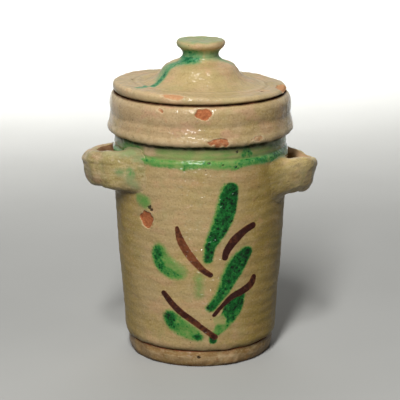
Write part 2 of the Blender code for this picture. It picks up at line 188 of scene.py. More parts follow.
# Painted light: pale clay for the right strap's bare faces, which lie in the collar's shadow inside the
# loop.
LIGHTENED_CLAY = (192, 156, 116)
DULL_LIGHTENED_CLAY = (170, 134, 98)
CLAY_DUST = (178, 144, 110)
CHIP = ((190, 118, 76), (158, 92, 58))
LID_CHIP = ((206, 158, 116), (196, 140, 98))
CLAY_LINE = (204, 134, 98)
CLAY_PORE = (96, 58, 38)
FLANGE_PORE = (70, 40, 28)
BLUSH = (198, 138, 98)
SPECK = (84, 62, 38)
PIT = (40, 26, 16)
# Dark colour for dirt and for painted shade in seams, gaps, creases and under overhangs.
DIRT_AND_SHADE = (52, 40, 26)
BROWN_LIGHT = (134, 76, 42)
BROWN_DARK = (52, 15, 5)

# Greens of the copper from thin to thick, on the jar, on the straps and on the lid, each at its tone.
GREEN_TONES = (0.0, 0.22, 0.42, 0.6, 0.8, 1.0)
GREENS = ((150, 156, 94), (132, 155, 84), (90, 145, 64), (28, 116, 46), (2, 78, 24), (0, 28, 6))
STRAP_GREENS = ((158, 154, 114), (138, 151, 99), (98, 147, 78), (40, 120, 54), (10, 86, 34), (2, 44, 16))
LID_GREENS = ((158, 164, 116), (136, 160, 108), (98, 150, 98), (56, 128, 82), (22, 96, 58), (4, 44, 26))


def place(turn, radius, height):
    """Point in mm at a turn in degrees, a radius and a height."""
    angle = math.radians(turn)
    return np.array([radius * math.sin(angle), -radius * math.cos(angle), height])


def ease(value, low, high):
    """Smooth change from 0 at low to 1 at high."""
    part = np.clip((value - low) / (high - low), 0.0, 1.0)
    return part * part * (3.0 - 2.0 * part)


def bump_at(value, centre, width):
    """Smooth hump of height 1 at the centre."""
    return np.exp(-((value - centre) / width) ** 2)


def ripple(points, size, seed, squash=1.0):
    """Smooth random field of about unit spread with lumps of the given size, alike on every run.

    Heights count times the squash, so that below 1 the lumps are tall and above 1 they are flat."""
    points = points * [1.0, 1.0, squash]
    random = np.random.RandomState(seed)
    total = np.zeros(len(points))
    for _ in range(RIPPLE_WAVES):
        heading = random.normal(size=3)
        heading *= FULL_TURN / (size * np.linalg.norm(heading))
        pace = random.uniform(0.6, 1.4)
        total += np.sin(points @ heading * pace + random.uniform(0.0, FULL_TURN))
    return total * math.sqrt(2.0 / RIPPLE_WAVES)


def section_of(node):
    """Section of a spun node at y = 0, x >= 0: rows of (radius, height) in mm, and if it is a loop."""
    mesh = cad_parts[node].data
    keys = [tuple(round(c / MM * KEYS_PER_MM) for c in v.co) for v in mesh.vertices]
    links = {}
    for edge in mesh.edges:
        first = keys[edge.vertices[0]]
        second = keys[edge.vertices[1]]
        in_plane = first[1] == 0 and second[1] == 0 and first[0] >= 0 and second[0] >= 0
        if in_plane and first != second:
            links.setdefault(first, set()).add(second)
            links.setdefault(second, set()).add(first)
    ends = sorted((k for k in links if len(links[k]) == 1), key=lambda k: k[2])
    closed = not ends
    here = max(links) if closed else ends[0]
    chain = [here]
    seen = {here}
    while True:
        onward = sorted(k for k in links[here] if k not in seen)
        if not onward:
            break
        here = onward[0]
        chain.append(here)
        seen.add(here)
    rows = [(k[0] / KEYS_PER_MM, k[2] / KEYS_PER_MM) for k in chain]
    if not closed:
        if rows[0][0] > 0.0:
            rows.insert(0, (0.0, rows[0][1]))
        if rows[-1][0] > 0.0:
            rows.append((0.0, rows[-1][1]))
    rows = np.array(rows)
    ahead = np.roll(rows, -1, axis=0)
    area = np.sum(rows[:, 0] * ahead[:, 1] - ahead[:, 0] * rows[:, 1])
    return (rows if area > 0.0 else rows[::-1]), closed


def blur(values, sigma, closed, mirror):
    """Gaussian blur along a section. An open one is carried on past the axis, mirrored."""
    reach = int(math.ceil(3.0 * sigma))
    kernel = np.exp(-0.5 * (np.arange(-reach, reach + 1) / sigma) ** 2)
    kernel /= kernel.sum()
    if closed:
        padded = np.concatenate([values[-reach:], values, values[:reach]])
    else:
        before = mirror * values[reach:0:-1]
        after = mirror * values[-2:-reach - 2:-1]
        padded = np.concatenate([before, values, after])
    return np.convolve(padded, kernel, mode="valid")


class Thrown:
    """Member turned on the wheel: the frame's section, softened and spun into a fine skin."""

    def __init__(self, node, segments, spacing, shown, soften):
        rows, self.closed = section_of(node)
        self.node = node
        self.segments = segments
        if self.closed:
            rows = np.vstack([rows, rows[:1]])
        length = np.concatenate([[0.0], np.cumsum(np.hypot(*np.diff(rows, axis=0).T))])
        count = int(round(length[-1] / DENSE_STEP))
        along = np.linspace(0.0, length[-1], count + 1)
        if self.closed:
            along = along[:-1]
        radius = np.interp(along, length, rows[:, 0])
        height = np.interp(along, length, rows[:, 1])
        visible = shown(radius, height).astype(float)
        step = spacing(radius, height)
        sigma = soften / DENSE_STEP
        radius = blur(radius, sigma, self.closed, -1.0)
        height = blur(height, sigma, self.closed, 1.0)
        visible = blur(visible, SHOWN_BLUR, self.closed, 1.0)
        pace = np.cumsum(DENSE_STEP / step)
        self.rows = int(math.ceil(pace[-1]))
        wanted = np.linspace(pace[0], pace[-1], self.rows + (1 if self.closed else 0))
        wanted = wanted[:self.rows]
        radius = np.interp(wanted, pace, radius)
        height = np.interp(wanted, pace, height)
        visible = np.interp(wanted, pace, visible)
        if not self.closed:
            radius[0] = 0.0
            radius[-1] = 0.0
        self.section = (radius, height)
        if self.closed:
            slope_r = np.roll(radius, -1) - np.roll(radius, 1)
            slope_z = np.roll(height, -1) - np.roll(height, 1)
        else:
            slope_r = np.gradient(radius)
            slope_z = np.gradient(height)
        size = np.hypot(slope_r, slope_z)
        turns = np.linspace(-math.pi, math.pi, segments, endpoint=False)
        self.turn = np.tile(turns, self.rows)
        self.radius = np.repeat(radius, segments)
        self.height = np.repeat(height, segments)
        self.out_r = np.repeat(slope_z / size, segments)
        self.out_z = np.repeat(-slope_r / size, segments)
        self.shown = np.repeat(visible, segments)
        self.shift = np.zeros((len(self.turn), 3))
        self.fields = {}

    def points(self):
        flat = [self.radius * np.sin(self.turn), -self.radius * np.cos(self.turn), self.height]
        return np.stack(flat, axis=1)

    def push(self, amount):
        """Move the skin by an amount in mm along its own outward direction."""
        self.radius = self.radius + amount * self.out_r
        self.height = self.height + amount * self.out_z

    def build(self, material):
        shape = (self.rows, self.segments)
        grid = (self.points() + self.shift).reshape(*shape, 3)
        fields = {name: value.reshape(shape) for name, value in self.fields.items()}
        if self.closed:
            return make_piece(self.node, grid, fields, material)
        hubs = [grid[0].mean(axis=0), grid[-1].mean(axis=0)]
        hub_fields = {name: [value[0].mean(), value[-1].mean()] for name, value in fields.items()}
        fields = {name: value[1:-1] for name, value in fields.items()}
        return make_piece(self.node, grid[1:-1], fields, material, hubs, hub_fields)


def make_piece(node, grid, fields, material, hubs=None, hub_fields=None, order=(0, 1, 2, 3)):
    """Mesh object over a grid of rings, named after its node, with its fields and its map.

    Without hubs the last ring joins the first one. With them, each end closes in a fan. Order is that
    of the corners of a face. One that runs backwards turns the faces over."""
    count, wide = grid.shape[:2]
    ring = np.arange(count * wide).reshape(count, wide)
    after = np.roll(ring, -1, axis=1)
    spare = 1 if hubs else 0
    rows = np.arange(count - spare)
    onward = (rows + 1) % count
    quads = np.stack([ring[rows], after[rows], after[onward], ring[onward]], axis=-1).reshape(-1, 4)
    step = 1.0 / wide
    rise = 1.0 / (count + spare)
    seam = np.arange(wide) * step
    u, v = np.meshgrid(seam, (rows + spare) * rise)
    uv = np.stack([u, v, u + step, v, u + step, v + rise, u, v + rise], axis=-1).reshape(-1, 4, 2)
    faces = quads[:, order].tolist()
    uv = uv[:, order].reshape(-1, 2)
    verts = grid.reshape(-1, 3)
    values = {name: value.reshape(-1) for name, value in fields.items()}
    if hubs:
        hub = np.full(wide, len(verts))
        verts = np.vstack([verts, hubs])
        values = {name: np.append(value, hub_fields[name]) for name, value in values.items()}
        fans = np.stack([hub, after[0], ring[0], hub + 1, ring[-1], after[-1]], axis=-1).reshape(-1, 3)
        none = np.zeros(wide)
        mid = seam + 0.5 * step
        low = [mid, none, seam + step, none + rise, seam, none + rise]
        high = [mid, none + 1.0, seam, none + 1.0 - rise, seam + step, none + 1.0 - rise]
        fan_uv = np.stack(low + high, axis=-1).reshape(-1, 3, 2)
        way = order[2] - order[1]
        faces += fans[:, ::way].tolist()
        uv = np.vstack([uv, fan_uv[:, ::way].reshape(-1, 2)])
    mesh = bpy.data.meshes.new(node + "_skin")
    mesh.from_pydata((verts * MM).tolist(), [], faces)
    layer = mesh.uv_layers.new(name="OFBake")
    layer.data.foreach_set("uv", np.ascontiguousarray(uv, dtype=np.float32).ravel())
    for field, value in values.items():
        stored = mesh.attributes.new(field, "FLOAT", "POINT")
        stored.data.foreach_set("value", np.ascontiguousarray(value, dtype=np.float32))
    mesh.shade_smooth()
    mesh.materials.append(material)
    mesh.update()
    piece = bpy.data.objects.new(node + "_skin", mesh)
    bpy.context.scene.collection.objects.link(piece)
    return piece


def spline(controls, steps):
    """Smooth chain through rows of numbers, each span cut into the given steps."""
    knots = np.array(controls, float)
    padded = np.vstack([2.0 * knots[0] - knots[1], knots, 2.0 * knots[-1] - knots[-2]])
    chain = []
    for index in range(len(knots) - 1):
        a, b, c, d = padded[index:index + 4]
        for part in np.arange(steps) / steps:
            bend = (2.0 * a - 5.0 * b + 4.0 * c - d) * part ** 2
            twist = (3.0 * b - a - 3.0 * c + d) * part ** 3
            chain.append(0.5 * (2.0 * b + (c - a) * part + bend + twist))
    chain.append(knots[-1])
    return np.array(chain)


def paint(points, marks, edge, tone):
    """Lay strokes over points. A mark is its edge width and rows of (x, y, z, half width, tone)."""
    for soft, rows in marks:
        chain = spline(rows, STROKE_STEPS)
        margin = chain[:, 3].max() + SOFT_SPAN * soft
        low = chain[:, :3].min(axis=0) - margin
        high = chain[:, :3].max(axis=0) + margin
        near = np.nonzero(np.all((points > low) & (points < high), axis=1))[0]
        if len(near) == 0:
            continue
        spots = points[near]
        best = np.full(len(near), -FAR)
        own = np.zeros(len(near))
        for sample in chain:
            reach = (sample[3] - np.linalg.norm(spots - sample[:3], axis=1)) / soft
            better = reach > best
            best[better] = reach[better]
            own[better] = sample[4]
        weight = ease(best, -1.4, 0.8)
        tone[near] = tone[near] * (1.0 - weight) + own * weight
        edge[near] = np.maximum(edge[near], best)


def in_spots(points, spots, ragged):
    """Depth in mm inside a list of oval spots with a ragged edge. A share below 1 caps the depth."""
    depth = np.full(len(points), -FAR)
    for turn, radius, height, half_width, half_height, *share in spots:
        sideways = place(turn + 90.0, 1.0, 0.0)
        offset = points - place(turn, radius, height)
        across = offset @ sideways
        rest = np.sqrt(np.maximum(np.sum(offset ** 2, axis=1) - across ** 2, 0.0))
        reach = np.hypot(across / half_width, rest / half_height)
        here = (1.0 - reach) * min(half_width, half_height) + ragged
        if share and share[0] < 1.0:
            here = np.minimum(here, CHIP_SKIN * (2.0 * share[0] - 1.0))
        depth = np.maximum(depth, here)
    return depth


def as_field(depth):
    """Depth in mm as a field between 0 and 1."""
    return np.clip(0.5 + depth / FIELD_SPAN, 0.0, 1.0)


def as_soft_field(edge):
    """Distance in edge widths as a field between 0 and 1."""
    return np.clip(0.5 + edge / SOFT_SPAN, 0.0, 1.0)


def jar_unevenness(points):
    """Unevenness of the hand-thrown jar in mm, shared by its members so that seams stay shut."""
    turn = np.arctan2(points[:, 0], -points[:, 1])
    oval = 0.22 * np.cos(2.0 * turn - 1.1) + 0.12 * np.cos(3.0 * turn + 0.7)
    lumps = 0.15 * ripple(points, 36.0, 11) + 0.07 * ripple(points, 14.0, 12)
    spiral = points[:, 2] / 7.5 + turn / FULL_TURN
    rings = 0.07 * np.sin(FULL_TURN * spiral + 0.8 * ripple(points, 40.0, 13))
    return oval + lumps + rings


def wall_line(member):
    """Outside radius of the jar by height, from the shown rows of its section."""
    radius, height = member.section
    shown = member.shown.reshape(member.rows, member.segments)[:, 0] > 0.5
    order = np.argsort(height[shown])
    return height[shown][order], radius[shown][order]


# Jar body

# Line inside the wall, by height and radius. What lies outside it is the shown side.
MID_WALL_HEIGHT = [11.8, 14.0, 19.0, 141.5, 157.0, 178.0]
MID_WALL_RADIUS = [49.6, 50.0, 50.3, 57.7, 58.5, 58.5]

# Lines round the jar, by height: the seam over the foot, the painted shade in it, the lower edge of the
# green band, the incised line on the neck, and the painted shadow under the collar.
FOOT_SEAM = 12.6
SEAM_DARK_LINE = 12.2
BAND_LOW = 142.3
NECK_LINE = 147.8
SHADOW_LINE = 154.9


def body_outside(radius, height):
    return radius > np.interp(height, MID_WALL_HEIGHT, MID_WALL_RADIUS)


def body_spacing(radius, height):
    return np.where(body_outside(radius, height), 0.95, 2.6)


body = Thrown("jar_body", BODY_SEGMENTS, body_spacing, body_outside, 0.55)
wall_height, wall_radius = wall_line(body)


def on_wall(turn, height):
    """Point on the outside of the wall."""
    return place(turn, float(np.interp(height, wall_height, wall_radius)), height)


def marks_on(spot, strokes):
    """Strokes as rows in space. The spot function places all but the last two numbers of a row."""
    return [(soft, [(*spot(*row[:-2]), *row[-2:]) for row in rows]) for soft, rows in strokes]


NECK_EDGE = 1.1
BAND_FLOOR = 130.0


def neck_patch(degrees, height):
    """Worn patch in the green on the left of the neck."""
    return bump_at(degrees, -43.0, 8.0) * ease(height, 147.6, 149.5)


def neck_band(points, turn):
    """Green band round the neck: edge widths from its lower edge, and its tone."""
    degrees = np.degrees(turn)
    height = points[:, 2]
    low = BAND_LOW + 0.7 * ripple(points, 30.0, 21, 0.25) + 0.35 * ripple(points, 9.0, 22, 0.25)
    strip = ease(height, 148.6, 147.2)
    cloud = ripple(points, 11.0, 23)
    right = ease(degrees, 5.0, 50.0) * ease(degrees, 120.0, 90.0)
    left = bump_at(degrees, -62.0, 12.0)
    patch = neck_patch(degrees, height)
    streak = ripple(points, 14.0, 24, 5.0)
    tone = 0.185 + 0.185 * strip + 0.04 * cloud + 0.04 * streak
    tone += 0.2 * strip * right + 0.16 * left * (1.0 - strip)
    tone = np.clip(tone, 0.12, 0.75) * (1.0 - 0.5 * patch)
    edge = (height - low) / NECK_EDGE
    edge = np.minimum(edge, 4.0 - 5.5 * patch)
    return np.where(height > BAND_FLOOR, edge, -FAR), tone


NECK_DROPS = [
    (0.8, [(23.0, 155.0, 1.0, 0.52), (21.2, 150.5, 1.5, 0.6)]),
    (0.8, [(23.5, 155.0, 1.0, 0.52), (26.0, 150.0, 1.5, 0.62)]),
    (1.2, [(-53.0, 153.0, 1.4, 0.52), (-54.0, 148.5, 1.0, 0.5)]),
    (2.2, [(-66.0, 153.5, 3.6, 0.46), (-60.0, 153.5, 2.6, 0.44)]),
]

skin = body.points()
uneven = jar_unevenness(skin)
finger_rings = np.sin(FULL_TURN * (body.height / 8.5 + body.turn / FULL_TURN))
inside = (1.0 - body.shown) * ease(body.height, 24.0, 34.0) * ease(body.height, 150.0, 138.0)
chip = in_spots(skin, BODY_CHIPS, 0.3 * ripple(skin, 4.5, 31))
pit = in_spots(skin, BODY_PITS, 0.15 * ripple(skin, 2.0, 32))
seam_bite = bump_at(body.height, FOOT_SEAM, 1.3) * (0.2 + 0.16 * ripple(skin, 17.0, 33, 0.3))
incised = bump_at(body.height, NECK_LINE, 0.7) * (0.28 + 0.1 * ripple(skin, 12.0, 34))
relief = body.shown * (uneven - CHIP_DEPTH * ease(chip, -0.3, 0.9) - PIT_DEPTH * ease(pit, -0.2, 0.5))
relief -= body.shown * (seam_bite + incised)
relief += inside * (0.28 * finger_rings + 0.18 * ripple(skin, 26.0, 35))
body.push(relief)

green_edge, green_tone = neck_band(skin, body.turn)
green_edge = np.where(body.shown > 0.5, green_edge, -FAR)
paint(skin, marks_on(on_wall, NECK_DROPS + GREEN_STROKES), green_edge, green_tone)
brown_depth = np.full(len(skin), -FAR)
brown_tone = np.zeros(len(skin))
brown_marks = marks_on(on_wall, [(1.0, rows) for rows in BROWN_STROKES])
paint(skin, brown_marks, brown_depth, brown_tone)
# Painted shade in the foot seam and the incised neck line, and a painted shadow under the collar's lip.
seam_dirt_and_shadow = (0.55 + 0.25 * ripple(skin, 12.0, 36, 0.3)) * bump_at(body.height, SEAM_DARK_LINE, 0.9)
shadow_line = SHADOW_LINE + 0.25 * ripple(skin, 8.0, 37, 0.0)
seam_dirt_and_shadow += 0.95 * ease(body.height, shadow_line - 0.5, shadow_line + 0.5)
seam_dirt_and_shadow += 0.3 * bump_at(body.height, NECK_LINE, 0.6)
# Pale wear low on the neck. The worn neck patch is also painted pale, as painted light against the
# collar's shade.
body_wear_and_light = 0.5 * bump_at(body.height, 144.5, 2.0) + neck_patch(np.degrees(body.turn), body.height)
underside = ease(body.height, 13.2, 12.2) * ease(body.radius, 50.5, 49.5)
# Ochre tint with painted shade: the jar's sides, away from the front, are painted darker and more ochre,
# less so at the back.
off_front = np.abs(body.turn + 0.3)
side_ochre_and_shade = 0.65 * ease(off_front, 0.4, 1.05) * (1.0 - 0.75 * ease(off_front, 1.35, 2.0))
side_dull = ease(off_front, 0.55, 1.0) * (1.0 - 0.6 * ease(off_front, 1.9, 2.4))
side_dull = 0.75 * side_dull * ease(body.height, 142.0, 136.0)
mouth_edge = ease(body.height, 170.0, 176.0) * (1.0 - body.shown)
body.fields = {
    "green": as_soft_field(green_edge) * body.shown,
    "green_tone": green_tone,
    "brown": as_field(brown_depth) * body.shown,
    "brown_tone": brown_tone,
    "chip": as_field(chip) * body.shown,
    "pit": as_field(pit) * body.shown,
    "bare": np.maximum(underside, mouth_edge),
    "dirt_and_shade": np.clip(seam_dirt_and_shadow * body.shown, 0.0, 1.0),
    "wear_and_painted_light": np.clip(body_wear_and_light, 0.0, 1.0) * body.shown,
    "ochre": side_ochre_and_shade * body.shown,
    "gloss": (ease(body.height, 141.5, 144.0) - side_dull) * body.shown,
}

# Foot ring

FOOT_HEIGHT = 11.5
foot = Thrown(
    "foot_ring", FOOT_SEGMENTS,
    lambda radius, height: np.where(radius > 44.0, 0.7, 1.6),
    lambda radius, height: (radius > 46.0) & (height < 11.4),
    0.5,
)
skin = foot.points()
swell = 0.9 * np.sin(math.pi * np.clip(foot.height / FOOT_HEIGHT, 0.0, 1.0)) ** 0.8
lumps = 0.22 * ripple(skin, 16.0, 41, 0.5) + 0.1 * ripple(skin, 6.0, 42)
settle = ease(foot.height, 0.2, 2.2)
pit = in_spots(skin, FOOT_PITS, 0.15 * ripple(skin, 2.0, 43))
relief = foot.shown * settle * (jar_unevenness(skin) + swell + lumps - PIT_DEPTH * ease(pit, -0.2, 0.5))
foot.push(relief)
foot.fields = {
    "pit": as_field(pit) * foot.shown,
    "bare": np.maximum(ease(foot.height, 1.2, 0.2), 1.0 - foot.shown),
    # Painted shade at the top of the foot, in the seam under the jar.
    "dirt_and_shade": 0.6 * ease(foot.height, 10.4, 11.4) * foot.shown,
    "wear_and_painted_light": 0.5 * bump_at(foot.height, 6.0, 3.0) * foot.shown,
    "gloss": -0.6 * foot.shown,
}

# Rim collar


def collar_outside(radius, height):
    return (radius > 60.0) | ((height > 184.0) & (radius > 55.0))


collar = Thrown(
    "rim_collar", RIM_SEGMENTS,
    lambda radius, height: np.where(radius > 59.0, 0.62, np.where(height > 183.0, 0.9, 2.4)),
    collar_outside, 0.5,
)
skin = collar.points()
chip = in_spots(skin, COLLAR_CHIPS, 0.35 * ripple(skin, 4.0, 51))
ragged = 0.1 * ripple(skin, 11.0, 52, 0.0) + 0.09 * ripple(skin, 3.2, 53, 0.0)
skirt = ease(collar.height, 161.0, 157.8) * ease(collar.radius, 60.2, 62.0)
level = ease(collar.height, 184.4, 183.0)
relief = collar.shown * level * jar_unevenness(skin)
relief += collar.shown * level * 0.06 * ripple(skin, 13.0, 54, 1.5)
relief -= collar.shown * CHIP_DEPTH * ease(chip, -0.3, 0.9)
relief -= collar.shown * (1.0 - level) * (0.12 + 0.1 * ripple(skin, 12.0, 55))
collar.push(relief)
collar.shift[:, 2] = skirt * ragged
seat = ease(collar.height, 183.6, 184.3) * ease(collar.radius, 61.0, 59.0)
# Painted shade under the collar's skirt and in the gap under the lid.
skirt_shadow = 0.8 * ease(collar.height, 158.4, 157.4) * ease(collar.radius, 64.6, 62.6)
gap_shade = ease(collar.height, 183.2, 184.2) * ease(collar.radius, 60.6, 59.4)
gap_shade = gap_shade * ease(collar.radius, 55.0, 58.0)
edge_wear = 0.75 * bump_at(collar.height, 160.5, 3.0) + 0.4 * bump_at(collar.height, 182.0, 2.5)
# Painted sheen: the collar's far left and right sides are painted paler.
side_sheen = ease(np.abs(np.sin(collar.turn + 0.14)), 0.78, 0.96)
collar.fields = {
    "chip": as_field(chip) * collar.shown,
    "bare": np.maximum(0.62 * seat, 1.0 - ease(collar.radius, 57.0, 59.5)),
    "dirt_and_shade": np.clip(skirt_shadow + gap_shade, 0.0, 1.0),
    "wear_and_painted_light": np.clip(edge_wear + side_sheen, 0.0, 1.0) * collar.shown,
    "gloss": 0.6 * collar.shown,
    # Ochre tint with painted shade on the collar's right side.
    "ochre": 0.35 * ease(collar.turn, 0.15, 0.9) * ease(collar.turn, 2.2, 1.5) * collar.shown,
}

# Lid

LID_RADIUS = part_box("lid")[1].x / MM
MID_LID_RADIUS = [0.0, 20.0, 33.0, 59.0, 59.6]
MID_LID_HEIGHT = [203.0, 201.0, 188.0, 186.6, 186.2]
LID_TILT = 2.1
RING_GROOVE = 46.2
RING_SWELL = 43.4


def lid_unevenness(points):
    """Unevenness of the lid in mm, shared with its knob so that the seam between them stays shut."""
    return 0.16 * ripple(points, 30.0, 63) + 0.08 * ripple(points, 9.0, 64)


def knob_lean(height):
    """Sideways lean of the stem and the knob in mm."""
    return 0.45 * ease(height, 204.0, 214.0)


def lid_top(radius, height):
    return height > np.interp(radius, MID_LID_RADIUS, MID_LID_HEIGHT)


lid = Thrown(
    "lid", RIM_SEGMENTS,
    lambda radius, height: np.where(lid_top(radius, height) | (radius > 56.0), 0.7, 2.0),
    lid_top, 0.5,
)
skin = lid.points()
chip = in_spots(skin, LID_CHIPS, 0.35 * ripple(skin, 4.5, 61))
pit = in_spots(skin, LID_PITS, 0.15 * ripple(skin, 2.0, 62))
flat = ease(lid.radius, 38.0, 44.0)
tilt = -LID_TILT * skin[:, 0] / LID_RADIUS * flat
ring_line = 0.34 * bump_at(lid.radius, RING_GROOVE, 0.9) - 0.26 * bump_at(lid.radius, RING_SWELL, 1.6)
turning = 0.06 * np.sin(FULL_TURN * (lid.radius / 3.4 + lid.turn / FULL_TURN))
relief = lid.shown * (lid_unevenness(skin) + turning * flat - ring_line)
relief -= lid.shown * (CHIP_DEPTH * ease(chip, -0.3, 0.9) + 0.4 * ease(pit, -0.2, 0.5))
lid.push(relief)
outline = 0.5 + 0.25 * np.cos(2.0 * lid.turn + 0.5) + 0.2 * np.cos(3.0 * lid.turn - 0.8)
lid.radius = lid.radius + outline * ease(lid.radius, 46.0, 58.0)
lid.shift[:, 2] = tilt * lid.shown * ease(lid.height, 185.0, 188.0)
lid.shift[:, 0] = knob_lean(lid.height) * lid.shown
lid_radius, lid_height = lid.section
crown = lid_height > np.interp(lid_radius, [0.0, 40.0, 60.0], [204.0, 188.5, 187.5])
crown &= lid_radius < LID_RADIUS - 3.0
crown_order = np.argsort(lid_radius[crown])


def on_lid(turn, radius):
    """Point on the top of the lid."""
    height = np.interp(radius, lid_radius[crown][crown_order], lid_height[crown][crown_order])
    return place(turn, radius, float(height))


run_marks = marks_on(on_lid, LID_GREEN)
stem_marks = marks_on(place, STEM_GREEN)
green_edge = np.full(len(skin), -FAR)
green_tone = np.zeros(len(skin))
paint(skin, run_marks, green_edge, green_tone)
paint(skin, stem_marks, green_edge, green_tone)
under = 1.0 - lid.shown
# Painted shade in the ring groove and at the lid's lower edge, a painted highlight on the ring's swell,
# and pale wear on the rim.
ring_groove_shade = 0.22 * bump_at(lid.radius, RING_GROOVE, 0.8) * lid.shown
rim_wear_and_highlight = 0.6 * bump_at(lid.radius, 59.0, 2.0) + 0.6 * bump_at(lid.radius, RING_SWELL, 1.6)
lid.fields = {
    "green": as_soft_field(green_edge) * lid.shown,
    "green_tone": green_tone,
    "chip": as_field(chip) * lid.shown,
    "pit": as_field(pit) * lid.shown,
    "bare": 0.75 * under * ease(lid.radius, 60.0, 56.5),
    "dirt_and_shade": np.maximum(ease(lid.height, 186.2, 185.2) * ease(lid.radius, 55.0, 57.0), ring_groove_shade),
    "wear_and_painted_light": np.clip(rim_wear_and_highlight, 0.0, 1.0) * lid.shown,
}

# Lid flange

flange = Thrown(
    "lid_flange", FLANGE_SEGMENTS,
    lambda radius, height: np.full(len(radius), 0.8),
    lambda radius, height: height < 184.0,
    0.5,
)
skin = flange.points()
turning = 0.08 * np.sin(FULL_TURN * (flange.height / 2.6 + flange.turn / FULL_TURN))
relief = flange.shown * (0.14 * ripple(skin, 18.0, 71) + 0.08 * ripple(skin, 5.0, 72) + turning)
flange.push(relief)

# Knob

KNOB_SKIRT = 1.3
KNOB_SKIRT_FLARE = 0.42
KNOB_CREASE = [(-40.0, 12.2, 209.8, 2.8, 0.5)]
KNOB_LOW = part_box("lid_knob")[0].z / MM
knob = Thrown(
    "lid_knob", KNOB_SEGMENTS,
    lambda radius, height: np.where(height > KNOB_LOW + 0.3, 0.4, 1.2),
    lambda radius, height: height > KNOB_LOW + 0.3,
    0.45,
)
skin = knob.points()
crease = in_spots(skin, KNOB_CREASE, 0.1 * ripple(skin, 2.0, 81))
lumps = 0.1 * ripple(skin, 11.0, 82) + 0.05 * ripple(skin, 4.0, 83)
lumps = lumps * ease(knob.height, KNOB_LOW + 0.5, KNOB_LOW + 3.0) + lid_unevenness(skin)
relief = knob.shown * (lumps - PIT_DEPTH * ease(crease, -0.3, 0.3))
knob.push(relief)
skirt = ease(knob.height, KNOB_LOW + 1.6, KNOB_LOW + 0.2) * ease(knob.radius, 10.4, 11.6)
knob.radius = knob.radius + KNOB_SKIRT_FLARE * skirt
knob.shift[:, 2] = -KNOB_SKIRT * skirt
knob.shift[:, 0] = knob_lean(knob.height)
green_edge = np.full(len(skin), -FAR)
top_wash = ease(knob.height, 217.2, 219.0) * ease(knob.radius, 16.7, 15.0)
green_edge = np.where(top_wash > 0.02, 2.2 * top_wash - 1.0 + 0.2 * ripple(skin, 7.0, 84), green_edge)
green_tone = np.clip(0.14 * top_wash + 0.03 * ripple(skin, 6.0, 85) * top_wash, 0.0, 1.0)
paint(skin, stem_marks, green_edge, green_tone)
paint(skin, run_marks[:1], green_edge, green_tone)
knob.fields = {
    "green": as_soft_field(green_edge),
    "green_tone": np.clip(green_tone, 0.0, 1.0),
    "pit": as_field(crease) * knob.shown,
    "bare": (1.0 - knob.shown) * ease(knob.radius, 11.6, 10.6),
    "wear_and_painted_light": 0.5 * bump_at(knob.height, 217.4, 2.0) * ease(knob.radius, 13.0, 15.5),
}


# Strap handles

STRAP_SIDES = 72
STRAP_STATIONS = 101
BELL_STEPS = 16
STRAP_THICKNESS = 10.0
STRAP_HEIGHT = 21.5
STRAP_HALF_SPAN = 26.0
STRAP_RIDGE = 0.7
STRAP_TIP = 75.3
STRAP_ROOT_OUT = 49.3
STRAP_LIP = 0.5
STRAP_MIDDLE = {"handle_left": 131.2, "handle_right": 125.0}
BELL_START = 0.74


def strap_middle(part):
    """Centre line of a strap: distance out, distance along, both from the jar's middle plane."""
    angle = 0.5 * math.pi * part
    out = STRAP_ROOT_OUT + (STRAP_TIP - STRAP_ROOT_OUT) * math.cos(angle) ** 0.85
    along = STRAP_HALF_SPAN * math.sin(angle) * (1.0 + 0.1 * part ** 4)
    return np.array([out, along])


def strap_section(part, middle, details):
    """Corners round the strap at one station, and where each lies in the section."""
    centre = strap_middle(part)
    ahead = strap_middle(part + 0.005) - strap_middle(part - 0.005)
    ahead /= np.linalg.norm(ahead)
    outward = np.array([ahead[1], -ahead[0]])
    angle = FULL_TURN * np.arange(STRAP_SIDES) / STRAP_SIDES
    cosine = np.cos(angle)
    sine = np.sin(angle)
    thick = 0.5 * STRAP_THICKNESS
    tall = 0.5 * STRAP_HEIGHT
    lift = np.sign(sine) * np.abs(sine) ** np.where(cosine > 0.0, 0.58, 0.72)
    across = thick * np.sign(cosine) * np.abs(cosine) ** np.where(cosine > 0.0, 0.62, 0.8)
    lean = np.where(lift > 0.0, details["lean"], details["low_lean"])
    across = across + STRAP_RIDGE * np.maximum(cosine, 0.0) ** 2 + lean * lift * ease(cosine, -0.6, 0.0)
    nose = details["nose_out"] * bump_at(part, 0.0, 0.45) * bump_at(lift, details["nose"], 0.22)
    across = across + nose * ease(cosine, 0.2, 0.7)
    sweep = math.sin(0.5 * math.pi * abs(part))
    slope, climb, curve = details["front_rise"] if part < 0.0 else details["back_rise"]
    climb = details["level"] + slope * sweep + climb * sweep ** curve
    arch = details["arch"] * bump_at(abs(part), details["arch_at"], 0.18)
    rise = np.where(lift < 0.0, tall - details["foot"] - arch, tall + climb)
    crease = np.zeros(STRAP_SIDES)
    for level, width, depth, centre_part, half in details["creases"]:
        drift = level + 0.06 * math.sin(5.0 * part + 9.0 * level)
        crease = crease + depth * bump_at(part, centre_part, half) * bump_at(lift, drift, width)
    crease = crease * ease(cosine, 0.0, 0.4)
    across = across - crease
    corners = np.zeros((STRAP_SIDES, 3))
    corners[:, 0] = centre[0] + across * outward[0]
    corners[:, 1] = centre[1] + across * outward[1]
    corners[:, 2] = middle + rise * lift
    return corners, cosine, lift, ahead, crease


def wall_at(x, y, z):
    """Radius of the uneven wall at points in mm."""
    radius = np.interp(z, wall_height, wall_radius)
    scale = radius / np.hypot(x, y)
    spots = np.stack([x * scale, y * scale, z], axis=1)
    return radius + jar_unevenness(spots)


